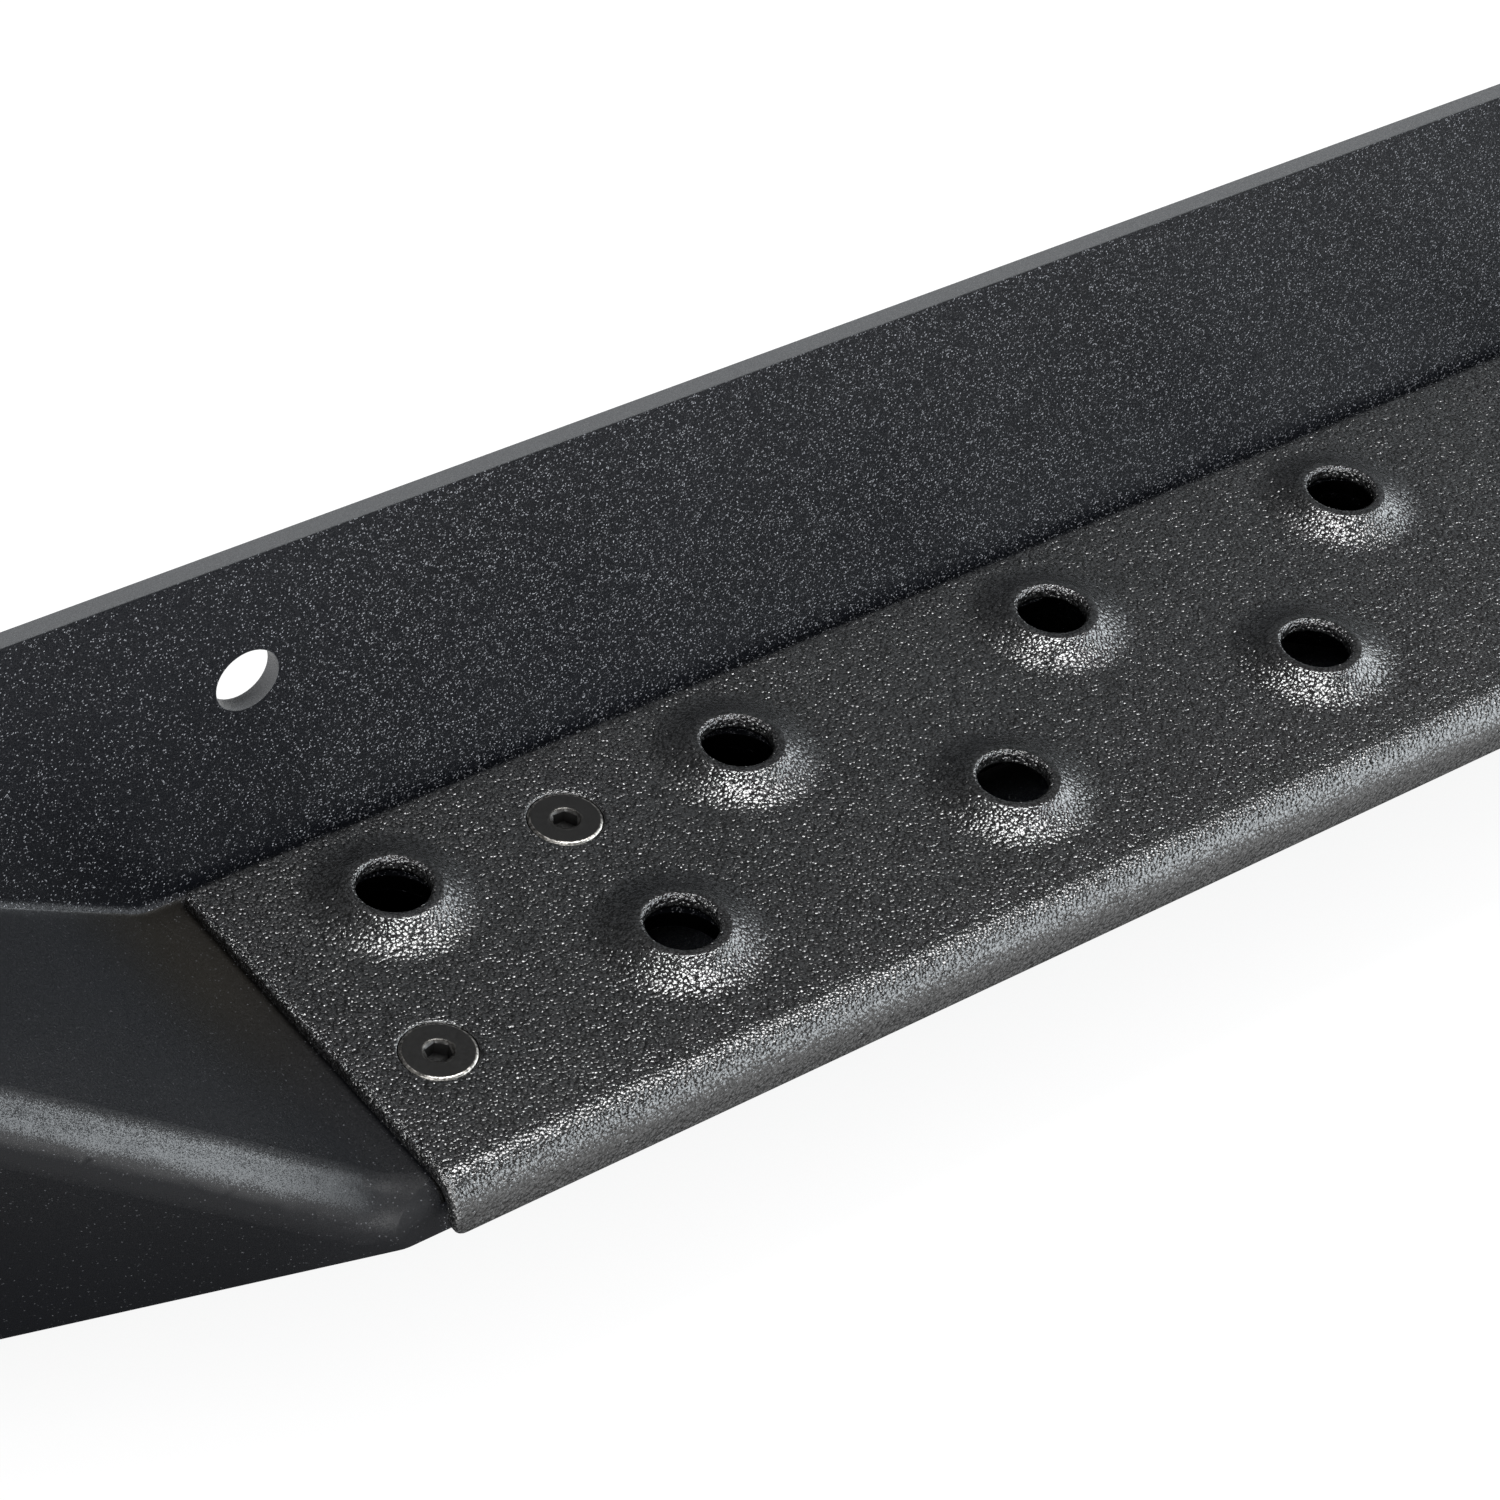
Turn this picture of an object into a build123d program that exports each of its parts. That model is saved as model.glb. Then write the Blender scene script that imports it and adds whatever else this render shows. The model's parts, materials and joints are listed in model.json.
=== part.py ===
"""Steel running board for a truck: a pressed and welded step with a bolt-on grip tread.

The frame: X runs along the board, +Y points to the vehicle and +Z up.  The origin is the middle of
the line of mounting holes, on the back face of the flange that lies against the vehicle's sill.
"""
from build123d import *
from math import cos, radians, sin, tan
import os

# ---- grip pattern ------------------------------------------------------------------------------
HOLE_PITCH = 88.0            # along the board, in both rows
BACK_ROW_HOLES = 13          # the front row has one fewer and stands half a pitch over
ROW_GAP = 39.5               # from the back row to the front row
GRIP_BORE = 15.6             # diameter of a raised grip hole
GRIP_FOOT = 40.0             # diameter at which the raised rim runs out into the sheet
GRIP_RISE = 3.6              # height of the rim over the sheet

# ---- tread plate -------------------------------------------------------------------------------
TREAD_SHEET = 3.0
TREAD_END_MARGIN = 36.0      # from the last grip hole to the end of the tread
TREAD_BACK_MARGIN = 23.1     # from the back row to the rear edge of the tread
TREAD_FRONT_MARGIN = 36.7    # from the front row to the outer face of the lip
LIP_DROP = 12.2              # from the top of the tread to the lower edge of the lip
LIP_BEND = 8.0               # outer radius of the bend
LIP_CORNER = 3.0             # rounding of the lip's lower corners
TREAD_CORNER = 2.0           # rounding of the rear corners

# ---- step body ---------------------------------------------------------------------------------
BODY_SHEET = 4.0
FLANGE_HEIGHT = 79.5         # from the top of the tread to the top of the flange
FLANGE_HOLE = 14.5
FLANGE_HOLE_HEIGHT = 48.0    # over the top of the tread
FLANGE_HOLE_OUTSET = 20.3    # the outer holes lie this far outside the last grip hole
FLANGE_HOLES = 4
FLANGE_BEND = 1.8            # inner radius where the flange meets the shelf and ramps
TREAD_TO_FLANGE = 2.2        # slot between the rear edge of the tread and the flange
LIP_TO_NOSE = 2.0            # slot between the lip and the nose of the body
SHELF_END_MARGIN = 8.6       # the shelf runs on past the tread, as far as its bend
NOSE_HEIGHT = 12.0
NOSE_BEND = 1.0              # inner radius, where the shelf turns down into the nose
UNDERSIDE_ANGLE = 31.0       # the underside falls towards the vehicle
RAMP_ANGLE = 28.3            # the pressed ends climb to the top of the flange
RAMP_BEND = 10.0
CHEEK_SETBACK = 4.4          # from the ramp's bend to the corner of nose and cheek
CHEEK_SWEEP = 27.1           # seen from above, the cheek turns in towards the flange
CHEEK_LEAN = 11.4            # and it leans in under the ramp
RIDGE_BEND = 5.0             # inner radius of the ridge between ramp and cheek
CREST_LENGTH = 4.0           # flat between the top of the ramp and the end of the board
SHELF_HOLE = 20.0            # clearance hole under a grip hole
WINDOW_MARGIN = 10.0         # from the middle of a rib to a window in the shelf
WINDOW_CORNER = 8.0

# ---- closing plates and ribs -------------------------------------------------------------------
UNDERSIDE_SHEET = 3.0
END_SHEET = 3.0
RIB_SHEET = 3.0
RIB_PLACES = (0.75, 2.75, 4.75, 7.25)    # in hole pitches from the middle, clear of the holes
WELD_GAP = 0.3               # fit-up clearance round each welded plate
DRAINS = 4
DRAIN_PITCH = 264.0
DRAIN_LENGTH = 40.0
DRAIN_WIDTH = 12.0
DRAIN_SETBACK = 24.0         # from the back face, up the slope, to the middle of a drain slot

# ---- tread screws: M8, flat head, hexagon socket -------------------------------------------------
SCREW_HEAD = 16.0
SCREW_SHANK = 8.0
SCREW_LENGTH = 16.0
SCREW_SOCKET = 5.0
SCREW_SOCKET_DEPTH = 3.0
SCREW_FIT = 0.1              # clearance under the head and round the thread
SCREW_CLEARANCE = 0.3        # clearance between the screw and the shelf
REAR_SCREW_INSET = 44.4      # inwards from the last grip hole
REAR_SCREW_OFFSET = 1.7      # behind the back row
FRONT_SCREW_OUTSET = 17.0    # outwards from the last grip hole
FRONT_SCREW_OFFSET = 2.2     # in front of the front row
NUT_WIDTH = 14.0             # across the flats
NUT_HEIGHT = 6.5

# ---- what follows from the sizes ---------------------------------------------------------------
RAMP = radians(RAMP_ANGLE)
UNDERSIDE = radians(UNDERSIDE_ANGLE)
TREAD_TOP = -FLANGE_HOLE_HEIGHT
SHELF_TOP = TREAD_TOP - TREAD_SHEET
FLANGE_TOP = TREAD_TOP + FLANGE_HEIGHT
FLANGE_FOOT = SHELF_TOP - BODY_SHEET
TREAD_BACK = -BODY_SHEET - TREAD_TO_FLANGE
BACK_ROW = TREAD_BACK - TREAD_BACK_MARGIN
FRONT_ROW = BACK_ROW - ROW_GAP
LIP_FACE = FRONT_ROW - TREAD_FRONT_MARGIN
NOSE_FACE = LIP_FACE + TREAD_SHEET + LIP_TO_NOSE
LAST_HOLE = HOLE_PITCH * (BACK_ROW_HOLES - 1) / 2
TREAD_END = LAST_HOLE + TREAD_END_MARGIN
SHELF_END = TREAD_END + SHELF_END_MARGIN
RAMP_RUN = (FLANGE_TOP - SHELF_TOP) / tan(RAMP)
BOARD_END = SHELF_END + RAMP_RUN + CREST_LENGTH
UNDERSIDE_LOW = SHELF_TOP - NOSE_HEIGHT + NOSE_FACE * tan(UNDERSIDE)
SPARE = 30.0                 # how far cutting forms run past what they cut

grip_places = []
for row, holes in ((BACK_ROW, BACK_ROW_HOLES), (FRONT_ROW, BACK_ROW_HOLES - 1)):
    for number in range(holes):
        grip_places.append(((number - (holes - 1) / 2) * HOLE_PITCH, row))

rear_screw = LAST_HOLE - REAR_SCREW_INSET
front_screw = LAST_HOLE + FRONT_SCREW_OUTSET
screw_places = [
    (-front_screw, FRONT_ROW - FRONT_SCREW_OFFSET),
    (-rear_screw, BACK_ROW + REAR_SCREW_OFFSET),
    (0, FRONT_ROW - FRONT_SCREW_OFFSET),
    (rear_screw, BACK_ROW + REAR_SCREW_OFFSET),
    (front_screw, FRONT_ROW - FRONT_SCREW_OFFSET),
]

rib_places = sorted(side * place * HOLE_PITCH for side in (-1, 1) for place in RIB_PLACES)
window_bays = [
    (left, right)
    for left, right in zip(rib_places, rib_places[1:])
    if not any(left < x < right for x, y in screw_places)
]
shelf_holes = [
    (x, y) for x, y in grip_places if not any(left < x < right for left, right in window_bays)
]
cone_at_shelf = SCREW_HEAD / 2 - TREAD_SHEET
shelf_screw_hole = max(cone_at_shelf, SCREW_SHANK / 2) + SCREW_CLEARANCE

os.makedirs("parts", exist_ok=True)


def save(builder, name):
    """Label a finished piece and write it as its own STEP file."""
    builder.part.label = name
    export_step(builder.part, f"parts/{name}.step")


# ---- the form of the step ----------------------------------------------------------------------
def cheek_plane(side, skin):
    """The cheek of one end, moved inwards by skin.  Its normal points out of the step."""
    sweep = radians(CHEEK_SWEEP)
    lean = radians(CHEEK_LEAN)
    out = Vector(side * sin(sweep) * cos(lean), -cos(sweep) * cos(lean), -sin(lean))
    corner = Vector(side * (SHELF_END + CHEEK_SETBACK), NOSE_FACE, SHELF_TOP)
    return Plane(origin=corner - out * skin, z_dir=out)


def underside_plane(depth):
    """The sloping underside, moved inwards by depth.  Its normal points out of the step."""
    out = Vector(0, -sin(UNDERSIDE), -cos(UNDERSIDE))
    edge = Vector(0, NOSE_FACE, SHELF_TOP - NOSE_HEIGHT)
    return Plane(origin=edge - out * depth, z_dir=out)


def faces_towards(builder, direction):
    """The flat faces of a part whose outward normal is the given direction."""
    flat = builder.faces().filter_by(GeomType.PLANE)
    return [face for face in flat if face.normal_at().get_angle(direction) < 1]


def shared_edges(first, second):
    """The edges that two groups of faces have in common."""
    others = [edge for face in second for edge in face.edges()]
    return [edge for face in first for edge in face.edges() if any(edge.is_same(o) for o in others)]


def step_form(skin=0.0, under=0.0, end=0.0, back=0.0):
    """The solid form of the step: a shelf between two ramps, over a nose and a sloping underside.

    skin moves the shelf, ramps, nose and cheeks inwards.  under, end and back do the same for the
    underside, the two ends and the back.  Negative values move them outwards.
    """
    shelf = SHELF_TOP - skin
    crest = FLANGE_TOP - skin
    bend = SHELF_END + skin * tan(RAMP / 2)
    tip = BOARD_END - end
    half = [(bend, shelf), (bend + RAMP_RUN, crest), (tip, crest), (tip, UNDERSIDE_LOW - SPARE)]
    outline = [(-x, z) for x, z in reversed(half)] + half
    with BuildPart() as form:
        with BuildSketch(Plane.XZ.offset(back)) as profile:
            with BuildLine():
                Polyline(outline, close=True)
            make_face()
            fillet(profile.vertices().group_by(Axis.Y)[1], RAMP_BEND + skin)
        extrude(amount=-NOSE_FACE - skin - back)
        split(bisect_by=underside_plane(under), keep=Keep.BOTTOM)
        for side in (-1, 1):
            split(bisect_by=cheek_plane(side, skin), keep=Keep.BOTTOM)

        ridges = []
        for side in (-1, 1):
            ramp = faces_towards(form, Vector(-side * sin(RAMP), 0, cos(RAMP)))
            cheek = faces_towards(form, cheek_plane(side, skin).z_dir)
            ridges += shared_edges(ramp, cheek)
        fillet(ridges, BODY_SHEET + RIDGE_BEND - skin)
        front = form.edges().group_by(Axis.Y)[0]
        nose = [edge for edge in front if edge.bounding_box().min.Z > shelf - 1]
        fillet(nose, BODY_SHEET + NOSE_BEND - skin)
    return form


# ---- step body: flange, shelf, ramps, cheeks and nose pressed from one sheet -------------------
def make_step_body():
    outside = step_form()
    inside = step_form(skin=BODY_SHEET, under=-SPARE, end=-SPARE, back=-SPARE)
    with BuildPart() as step_body:
        add(outside.part)
        add(inside.part, mode=Mode.SUBTRACT)
        with BuildSketch(Plane.XZ):
            with Locations((0, (FLANGE_TOP + FLANGE_FOOT) / 2)):
                Rectangle(2 * BOARD_END, FLANGE_TOP - FLANGE_FOOT)
        extrude(amount=BODY_SHEET)

        shelf = faces_towards(step_body, Vector(0, 0, 1))
        flange = faces_towards(step_body, Vector(0, -1, 0))
        corner = [edge for edge in shared_edges(shelf, flange) if edge.center().Z < TREAD_TOP]
        fillet([edge for edge in corner if edge.center().Y > BACK_ROW], FLANGE_BEND)

        outer_hole = LAST_HOLE + FLANGE_HOLE_OUTSET
        with BuildSketch(Plane.XZ):
            with GridLocations(2 * outer_hole / (FLANGE_HOLES - 1), 0, FLANGE_HOLES, 1):
                Circle(FLANGE_HOLE / 2)
        extrude(amount=BODY_SHEET, mode=Mode.SUBTRACT)

        with BuildSketch(Plane.XY.offset(SHELF_TOP)):
            for left, right in window_bays:
                with Locations(((left + right) / 2, (BACK_ROW + FRONT_ROW) / 2)):
                    RectangleRounded(right - left - 2 * WINDOW_MARGIN, ROW_GAP + SHELF_HOLE, WINDOW_CORNER)
            with Locations(*shelf_holes):
                Circle(SHELF_HOLE / 2)
            with Locations(*screw_places):
                Circle(shelf_screw_hole)
        extrude(amount=-BODY_SHEET, mode=Mode.SUBTRACT)
    save(step_body, "step_body")


# ---- plates that close the step from below, behind and at its ends -----------------------------
def make_underside_panel():
    low_edge = Vector(0, 0, UNDERSIDE_LOW)
    slope = Plane(origin=low_edge, x_dir=(1, 0, 0), z_dir=underside_plane(0).z_dir)
    with BuildPart() as panel:
        add(step_form(skin=BODY_SHEET + WELD_GAP).part)
        split(bisect_by=underside_plane(UNDERSIDE_SHEET), keep=Keep.TOP)
        with BuildSketch(slope):
            with Locations((0, DRAIN_SETBACK)):
                with GridLocations(DRAIN_PITCH, 0, DRAINS, 1):
                    SlotOverall(DRAIN_LENGTH, DRAIN_WIDTH)
        extrude(amount=-UNDERSIDE_SHEET, mode=Mode.SUBTRACT)
    save(panel, "underside_panel")


def make_back_plate():
    top = FLANGE_FOOT - WELD_GAP
    with BuildPart() as plate:
        add(step_form(skin=BODY_SHEET + WELD_GAP, under=UNDERSIDE_SHEET + WELD_GAP).part)
        with BuildSketch(Plane.XZ):
            with Locations((0, top)):
                Rectangle(2 * BOARD_END, top - UNDERSIDE_LOW + SPARE, align=(Align.CENTER, Align.MAX))
        extrude(amount=BODY_SHEET, mode=Mode.INTERSECT)
    save(plate, "back_plate")


def make_cross_plates():
    """Ribs inside the step and the plates that close its two ends."""
    inside = step_form(
        skin=BODY_SHEET + WELD_GAP,
        under=UNDERSIDE_SHEET + WELD_GAP,
        back=BODY_SHEET + WELD_GAP,
    )
    height = FLANGE_TOP - UNDERSIDE_LOW
    for number, place in enumerate(rib_places, start=1):
        with BuildPart() as rib:
            add(inside.part)
            with Locations((place, 0, 0)):
                Box(RIB_SHEET, 3 * height, 3 * height, mode=Mode.INTERSECT)
        save(rib, f"inner_rib_{number}")

    for side, name in ((-1, "end_plate_left"), (1, "end_plate_right")):
        with BuildPart() as plate:
            add(inside.part)
            with Locations((side * (BOARD_END - END_SHEET / 2), 0, 0)):
                Box(END_SHEET, 3 * height, 3 * height, mode=Mode.INTERSECT)
        save(plate, name)


# ---- tread plate with raised grip holes --------------------------------------------------------
def make_grip_rim():
    """The raised rim round one grip hole, on a sheet whose top is at zero."""
    middle = -TREAD_SHEET / 2
    with BuildPart() as rim:
        with BuildSketch(Plane.XZ):
            with BuildLine():
                Polyline(
                    (0, middle),
                    (GRIP_FOOT / 2, middle),
                    (GRIP_FOOT / 2, 0),
                    (GRIP_BORE / 2, GRIP_RISE),
                    (0, GRIP_RISE),
                    close=True,
                )
            make_face()
        revolve(axis=Axis.Z)
    return rim


def make_tread_plate():
    top = TREAD_TOP
    low = TREAD_TOP - LIP_DROP
    outline = [
        (TREAD_BACK, top),
        (LIP_FACE, top),
        (LIP_FACE, low),
        (LIP_FACE + TREAD_SHEET, low),
        (LIP_FACE + TREAD_SHEET, top - TREAD_SHEET),
        (TREAD_BACK, top - TREAD_SHEET),
    ]
    rim = make_grip_rim()
    with BuildPart() as tread:
        with BuildSketch(Plane.YZ.offset(-TREAD_END)) as section:
            with BuildLine():
                Polyline(outline, close=True)
            make_face()
            corners = section.vertices()
            fillet(corners.sort_by_distance(outline[1] + (0,))[0], LIP_BEND)
            corners = section.vertices()
            fillet(corners.sort_by_distance(outline[4] + (0,))[0], LIP_BEND - TREAD_SHEET)
        extrude(amount=2 * TREAD_END)
        fillet(tread.edges().filter_by(Axis.Y).group_by(Axis.Z)[0], LIP_CORNER)
        fillet(tread.edges().filter_by(Axis.Z).group_by(Axis.Y)[-1], TREAD_CORNER)

        with Locations(*[(x, y, top) for x, y in grip_places]):
            add(rim.part)
        with BuildSketch(Plane.XY.offset(top + GRIP_RISE)):
            with Locations(*grip_places):
                Circle(GRIP_BORE / 2)
        extrude(amount=-GRIP_RISE - TREAD_SHEET, mode=Mode.SUBTRACT)
        with Locations(*[(x, y, top) for x, y in screw_places]):
            cone = SCREW_HEAD / 2 + SCREW_FIT
            CounterSinkHole(SCREW_SHANK / 2, cone, depth=TREAD_SHEET, counter_sink_angle=90)
    save(tread, "tread_plate")


# ---- fasteners ---------------------------------------------------------------------------------
def make_tread_screws():
    head = SCREW_HEAD / 2
    shank = SCREW_SHANK / 2
    cone = head - shank
    with BuildPart() as screw:
        with BuildSketch(Plane.XZ):
            with BuildLine():
                Polyline(
                    (0, 0),
                    (head, 0),
                    (shank, -cone),
                    (shank, -SCREW_LENGTH),
                    (0, -SCREW_LENGTH),
                    close=True,
                )
            make_face()
        revolve(axis=Axis.Z)
        with BuildSketch():
            RegularPolygon(SCREW_SOCKET / 2, 6, major_radius=False)
        extrude(amount=-SCREW_SOCKET_DEPTH, mode=Mode.SUBTRACT)
    with BuildPart() as screws:
        with Locations(*[(x, y, TREAD_TOP) for x, y in screw_places]):
            add(screw.part)
    save(screws, "tread_screws")


def make_weld_nuts():
    for number, (x, y) in enumerate(screw_places, start=1):
        with BuildPart() as nut:
            with BuildSketch(Plane.XY.offset(FLANGE_FOOT)):
                with Locations((x, y)):
                    RegularPolygon(NUT_WIDTH / 2, 6, major_radius=False)
                    Circle(SCREW_SHANK / 2 + SCREW_FIT, mode=Mode.SUBTRACT)
            extrude(amount=-NUT_HEIGHT)
        save(nut, f"weld_nut_{number}")


make_step_body()
make_underside_panel()
make_back_plate()
make_cross_plates()
make_tread_plate()
make_tread_screws()
make_weld_nuts()
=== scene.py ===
import json
import math

import bmesh
import bpy
from mathutils import Matrix, Vector


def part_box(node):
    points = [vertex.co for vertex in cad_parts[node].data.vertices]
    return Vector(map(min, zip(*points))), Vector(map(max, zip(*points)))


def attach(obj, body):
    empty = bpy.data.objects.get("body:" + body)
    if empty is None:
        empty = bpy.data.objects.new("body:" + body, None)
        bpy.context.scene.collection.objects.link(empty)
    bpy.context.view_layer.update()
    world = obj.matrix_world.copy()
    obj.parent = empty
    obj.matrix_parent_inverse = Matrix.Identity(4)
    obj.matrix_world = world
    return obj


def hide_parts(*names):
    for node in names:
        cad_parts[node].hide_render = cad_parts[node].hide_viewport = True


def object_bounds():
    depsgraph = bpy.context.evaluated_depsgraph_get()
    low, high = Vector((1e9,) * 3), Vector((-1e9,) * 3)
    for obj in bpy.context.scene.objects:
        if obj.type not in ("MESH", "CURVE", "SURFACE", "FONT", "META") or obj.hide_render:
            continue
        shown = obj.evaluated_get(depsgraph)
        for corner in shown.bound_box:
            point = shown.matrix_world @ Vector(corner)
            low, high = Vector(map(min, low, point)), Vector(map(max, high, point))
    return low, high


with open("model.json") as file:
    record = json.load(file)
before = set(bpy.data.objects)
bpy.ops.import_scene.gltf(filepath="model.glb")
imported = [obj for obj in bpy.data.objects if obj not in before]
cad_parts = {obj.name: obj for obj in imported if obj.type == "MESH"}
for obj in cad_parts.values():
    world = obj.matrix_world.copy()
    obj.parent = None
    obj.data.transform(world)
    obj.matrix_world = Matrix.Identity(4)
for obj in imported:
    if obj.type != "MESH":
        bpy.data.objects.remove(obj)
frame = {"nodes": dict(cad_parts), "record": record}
CAD_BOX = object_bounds()

bl_info = {
    "name": "Running Board",
    "version": (1, 0, 0),
    "blender": (4, 5, 0),
    "location": "3D View > Sidebar > Running Board",
    "description": "Finishes a steel running board: grip tread, coated body, screws, welds and studio",
    "category": "Add Mesh",
}

MM = 0.001
BODY = "root"
TREAD_LOW, TREAD_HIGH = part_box("tread_plate")
FLANGE_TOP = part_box("step_body")[1].z
PANEL_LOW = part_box("underside_panel")[0]
BODY_SHEET = 4 * MM                             # thickness of the pressed body
SHELF_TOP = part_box("weld_nut_1")[1].z + BODY_SHEET
SHELF_END = TREAD_HIGH.x + 8.6 * MM             # where the shelf bends up into the pressed end
BOLTS = {mount["name"]: mount["dims"] for mount in frame["record"]["mounts"]}
BOLT_OUTER = BOLTS["flange_bolts_outer"]["spacing_x_mm"] / 2 * MM
BOLT_INNER = BOLTS["flange_bolts_inner"]["spacing_x_mm"] / 2 * MM
BOLT_HOLE = BOLTS["flange_bolts_outer"]["hole_r_mm"] * MM


# ---- settings ------------------------------------------------------------------------------------
def length(name, description, default):
    """A length in metres, given in millimetres."""
    return bpy.props.FloatProperty(
        name=name, description=description, default=default * MM, subtype="DISTANCE", unit="LENGTH"
    )


def amount(name, description, default):
    """A plain number."""
    return bpy.props.FloatProperty(name=name, description=description, default=default)


def power(name, description, default):
    """A lamp's power in watts."""
    return bpy.props.FloatProperty(name=name, description=description, default=default, unit="POWER")


def angle(name, description, default):
    """An angle, given in degrees."""
    return bpy.props.FloatProperty(
        name=name, description=description, default=math.radians(default), subtype="ANGLE", unit="ROTATION"
    )


def colour(name, description, default):
    """A linear colour."""
    return bpy.props.FloatVectorProperty(
        name=name, description=description, default=default, size=3, min=0, max=1, subtype="COLOR"
    )


class TreadSettings(bpy.types.PropertyGroup):
    """Sizes of the grip tread."""

    pitch: length("Hole pitch", "Distance between grip holes in a row", 88)
    row_gap: length("Row gap", "Distance between the two rows", 39.5)
    back_margin: length("Back margin", "From the back row to the rear edge", 23.1)
    bore: length("Bore", "Radius of a grip hole", 7.8)
    foot: length("Foot", "Radius where the raised rim runs out", 20)
    rise: length("Rise", "Height of the raised rims", 3.6)
    crest: length("Crest", "Radius of the outer edge of a rim's top", 10.4)
    round_top: length("Rim rounding", "Radius of the rounding from a rim's top into the bore", 1.1)
    throat: length("Throat", "Depth of the bright part of a bore", 2.5)
    sheet: length("Sheet", "Thickness of the tread", 3)
    bend: length("Bend", "Outer radius of the lip's bend", 8)
    lip_corner: length("Lip corner", "Rounding of the lip's lower corners", 3)
    rear_corner: length("Rear corner", "Rounding of the rear corners", 2)
    back_holes: bpy.props.IntProperty(name="Back holes", description="Holes in the back row", default=13)


class ScrewSettings(bpy.types.PropertyGroup):
    """Sizes of the flat head socket screws."""

    head: length("Head", "Radius of the head", 8)
    shank: length("Shank", "Radius of the shank", 4)
    long: length("Length", "Length over all", 16)
    socket: length("Socket", "Half the width across the flats of the socket", 2.5)
    deep: length("Socket depth", "Depth of the socket", 3.4)
    edge: length("Edge", "Width of the rounding round the head", 0.75)
    mouth: length("Mouth", "Width of the lead into the socket", 0.6)
    thread: length("Thread", "Pitch of the thread", 1.25)
    rear_inset: length("Rear inset", "Rear screws, inwards from the last grip hole", 44.4)
    rear_offset: length("Rear offset", "Rear screws, behind the back row", 1.7)
    front_outset: length("Front outset", "Front screws, outwards from the last grip hole", 17)
    front_offset: length("Front offset", "Front screws, in front of the front row", 2.2)


class FinishSettings(bpy.types.PropertyGroup):
    """Colours and grain of the coatings."""

    body_colour: colour("Body coat", "Colour of the coated body", (0.004, 0.0045, 0.006))
    # the pressed ends' darker colour is painted shade
    end_shade_colour: colour("End coat", "Colour of the coat on the pressed ends", (0.0025, 0.0028, 0.0038))
    # the lighter edge colour is the thin coat on cut faces and partly a painted highlight
    edge_and_highlight_colour: colour("Edge coat", "Colour of the thin coat on cut edges", (0.075, 0.077, 0.08))
    # a warm tint painted beside the tread as a reflection and shade
    painted_warm_colour: colour("Painted warm reflection", "Colour of the coat where dust tints it", (0.006, 0.0045, 0.002))
    body_fleck: colour("Body fleck", "Colour of the flecks in the body's coat", (0.26, 0.266, 0.285))
    tread_colour: colour("Tread coat", "Colour of the tread's coat", (0.0035, 0.0035, 0.0035))
    # the raised grains' lighter colour is partly random grit and partly painted shade, darker in the
    # grooves
    tread_grain_and_shade: colour("Tread fleck", "Colour of the raised grains", (0.021, 0.0215, 0.022))
    body_grain: length("Body grain", "Size of the flecks in the body's coat", 0.25)
    tread_grain: length("Tread grain", "Size of the grains on the tread", 0.88)


class StudioSettings(bpy.types.PropertyGroup):
    """Camera and lamps."""

    azimuth: angle("Azimuth", "Where the camera looks: 0 is along +Y and 90 is along +X", 41.80)
    elevation: angle("Elevation", "How far the camera looks down", 40.29)
    roll: angle("Roll", "How far the camera is turned about its own line of sight", 7.26)
    distance: length("Distance", "From the camera to the tread", 993.1)
    aim_inset: length("Aim inset", "From the end of the tread to the middle of the view", 127.1)
    aim_depth: length("Aim depth", "From the rear edge of the tread to the middle of the view", 23.81)
    lens: amount("Lens", "Focal length in millimetres, on a 36 mm sensor", 111.61)
    overhead: power("Overhead", "Power of the overhead lamp", 36)
    left: power("Left", "Power of the left lamp", 42)
    front: power("Front", "Power of the front lamp", 54)
    sky: amount("Sky", "Light from all round", 0.12)


# ---- small helpers -------------------------------------------------------------------------------
class Nodes:
    """Adds nodes to a tree.  Inputs are given by name or number, as a value or as an output to wire."""

    def __init__(self, tree):
        self.tree = tree
        tree.nodes.clear()

    def add(self, kind, inputs=(), **settings):
        node = self.tree.nodes.new(kind)
        for name, value in settings.items():
            setattr(node, name, value)
        for name, value in dict(inputs).items():
            if isinstance(value, bpy.types.NodeSocket):
                self.tree.links.new(value, node.inputs[name])
            else:
                node.inputs[name].default_value = value
        return node

    def math(self, operation, *values):
        return self.add("ShaderNodeMath", enumerate(values), operation=operation).outputs[0]

    def product(self, first, *others):
        """Several numbers multiplied together."""
        for other in others:
            first = self.math("MULTIPLY", first, other)
        return first

    def total(self, first, second):
        return self.math("ADD", first, second)

    def vector(self, operation, *values):
        return self.add("ShaderNodeVectorMath", enumerate(values), operation=operation).outputs[0]

    def attribute(self, name):
        """A number that each point of the mesh carries."""
        return self.add("ShaderNodeAttribute", attribute_name=name).outputs["Fac"]

    def ramp(self, value, stops):
        """A colour ramp through (position, grey or colour) stops."""
        node = self.add("ShaderNodeValToRGB", {0: value})
        marks = node.color_ramp.elements
        while len(marks) < len(stops):
            marks.new(0.5)
        for mark, (place, tone) in zip(marks, stops):
            mark.position = place
            mark.color = (tone, tone, tone, 1) if isinstance(tone, (int, float)) else (*tone, 1)
        return node.outputs[0]

    def mix(self, share, first, second):
        """Mixes two colours, each an output or red, green and blue."""
        inputs = {0: share}
        for number, value in ((6, first), (7, second)):
            inputs[number] = value if isinstance(value, bpy.types.NodeSocket) else (*value, 1)
        return self.add("ShaderNodeMix", inputs, data_type="RGBA").outputs[2]


def new_material(name):
    """A material with an empty node tree."""
    material = bpy.data.materials.new(name)
    material.use_nodes = True
    return material, Nodes(material.node_tree)


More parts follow.
